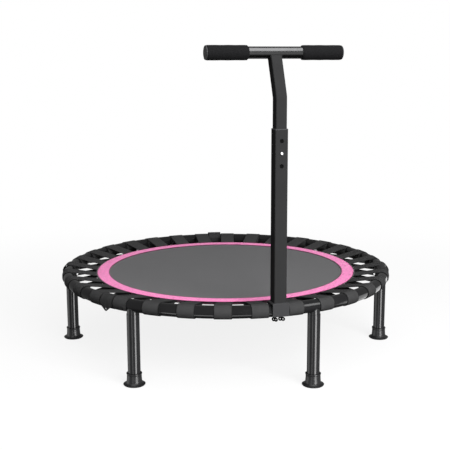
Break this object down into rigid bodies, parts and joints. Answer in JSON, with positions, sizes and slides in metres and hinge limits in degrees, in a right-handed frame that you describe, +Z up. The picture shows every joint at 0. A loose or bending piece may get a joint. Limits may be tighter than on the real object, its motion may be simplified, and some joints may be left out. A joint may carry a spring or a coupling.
{
  "type": "mini trampoline",
  "caption": "Low round fitness trampoline with elastic webbing straps, short legs on rubber feet and a clamped T-shaped grab handle with adjustable height.",
  "frame": {"origin": "on the floor, at the centre of the round frame", "axes": "+Z up; -Y towards the side where the handle stands, +X towards the right-hand leg"},
  "size_m": [1.034, 1.0134, 0.909],
  "materials": {
    "frame_paint": "gloss black",
    "clamp_paint": "satin black",
    "post_paint": "satin black",
    "bar_metal": "gloss dark grey",
    "plain_steel": "zinc plated",
    "bright_metal": "polished",
    "black_zinc": "black zinc",
    "mat_fabric": "tight woven matt",
    "band_fabric": "pink woven cloth",
    "strap_webbing": "elastic webbing",
    "foot_rubber": "glossy moulded",
    "grip_foam": "matt closed-cell foam",
    "black_plastic": "moulded"
  },
  "bodies": {
    "frame": {"frame_arc_front": "frame_paint", "frame_arc_right": "frame_paint", "frame_arc_left": "frame_paint", "frame_joiners": "plain_steel", "joint_pins": "plain_steel", "joint_covers": "strap_webbing", "cover_eyelets": "black_zinc", "leg_sockets": "frame_paint", "leg_studs": "plain_steel", "elastic_straps": "strap_webbing", "clamp_saddle": "clamp_paint", "clamp_bolts": "black_zinc", "clamp_washers": "black_zinc", "lower_post": "post_paint", "post_bush": "black_plastic", "leg_right": "frame_paint", "foot_right": "foot_rubber", "leg_back_right": "frame_paint", "foot_back_right": "foot_rubber", "leg_back_left": "frame_paint", "foot_back_left": "foot_rubber", "leg_left": "frame_paint", "foot_left": "foot_rubber", "leg_front_left": "frame_paint", "foot_front_left": "foot_rubber", "leg_front_right": "frame_paint", "foot_front_right": "foot_rubber"},
    "mat": {"jump_mat": "mat_fabric", "edge_band": "band_fabric"},
    "handle": {"upper_post": "post_paint", "button_spring": "plain_steel", "handlebar": "bar_metal", "grip_left": "grip_foam", "grip_right": "grip_foam", "bar_cap_left": "black_plastic", "bar_cap_right": "black_plastic"},
    "button": {"snap_button": "bright_metal"},
    "left_nut": {"wing_nut_left": "black_zinc"},
    "right_nut": {"wing_nut_right": "black_zinc"}
  },
  "joints": [
    {"name": "mat_bounce", "type": "slide", "parent": "frame", "child": "mat", "axis": [0, 0, 1], "range_m": [-0.06, 0], "stiffness_N_per_m": 9000, "deforming": ["elastic_straps"]},
    {"name": "handle_height", "type": "slide", "parent": "frame", "child": "handle", "axis": [0, 0, 1], "range_m": [-0.032, 0.032], "deforming": ["snap_button", "button_spring"]},
    {"name": "button_press", "type": "slide", "parent": "handle", "child": "button", "axis": [-0.2986, 0.9544, 0], "range_m": [0, 0.0053], "stiffness_N_per_m": 400},
    {"name": "left_nut_spin", "type": "hinge", "parent": "frame", "child": "left_nut", "pos_m": [0.13642, -0.46812, 0.2], "axis": [0, 0, -1], "continuous": true},
    {"name": "right_nut_spin", "type": "hinge", "parent": "frame", "child": "right_nut", "pos_m": [0.15474, -0.46239, 0.2], "axis": [0, 0, -1], "continuous": true}
  ]
}
